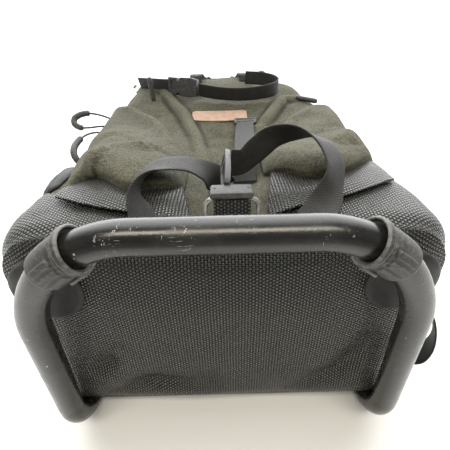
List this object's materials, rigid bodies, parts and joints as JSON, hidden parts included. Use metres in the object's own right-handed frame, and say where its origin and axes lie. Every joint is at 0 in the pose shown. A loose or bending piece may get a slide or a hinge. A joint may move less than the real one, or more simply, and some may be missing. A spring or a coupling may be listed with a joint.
{
  "type": "frame rucksack",
  "caption": "Used frame rucksack lying on its harness: bent tube frame with a U foot, honeycomb coated base, wool-like bag with bulging front pockets, webbing straps and buckles.",
  "frame": {"origin": "on the floor, under the middle of the pack's box without its loose zip cords", "axes": "+X across the pack to the right as seen from its foot, +Y from the foot to the top, +Z from the harness to the front pockets"},
  "size_m": [0.416, 0.564, 0.2811],
  "materials": {
    "tube": "satin black paint with pale scratches",
    "plastic": "worn moulded plastic",
    "wire": "dull plated wire",
    "wool": "napped olive-brown wool-like cloth",
    "honeycomb": "coated cloth with a raised honeycomb grain",
    "nylon": "plain grey woven nylon",
    "webbing": "ribbed webbing",
    "rubber": "smooth wear patch",
    "leather": "bare tan leather",
    "mesh": "spacer mesh",
    "cord": "braided cord"
  },
  "bodies": {
    "root": {"frame": "tube", "base_boot": "honeycomb", "bag_body": "wool", "top_cap": "wool", "label": "leather", "foot_clip_left": "plastic", "front_pocket_left": "wool", "pocket_skirt_left": "honeycomb", "side_panel_left": "nylon", "corner_patch_left": "rubber", "shoulder_strap_left": "mesh", "shoulder_web_left": "webbing", "foot_clip_right": "plastic", "front_pocket_right": "wool", "pocket_skirt_right": "honeycomb", "side_panel_right": "nylon", "corner_patch_right": "rubber", "shoulder_strap_right": "mesh", "shoulder_web_right": "webbing", "centre_strap": "webbing", "loop_strap_left": "webbing", "loop_strap_right": "webbing", "buckle_tab": "honeycomb", "top_strap": "webbing", "top_strap_left": "webbing", "haul_loop": "webbing", "side_loop": "webbing", "lower_buckle_body": "plastic", "lower_buckle_prongs": "plastic", "wire_ring": "wire", "ladder_lock": "plastic", "top_buckle": "plastic", "pocket_pull_left": "plastic", "pocket_pull_right": "plastic", "zip_ring": "wire", "zip_slider": "wire", "side_cord_upper": "cord", "side_grip_upper": "plastic", "side_cord_lower": "cord", "side_grip_lower": "plastic"}
  },
  "joints": []
}
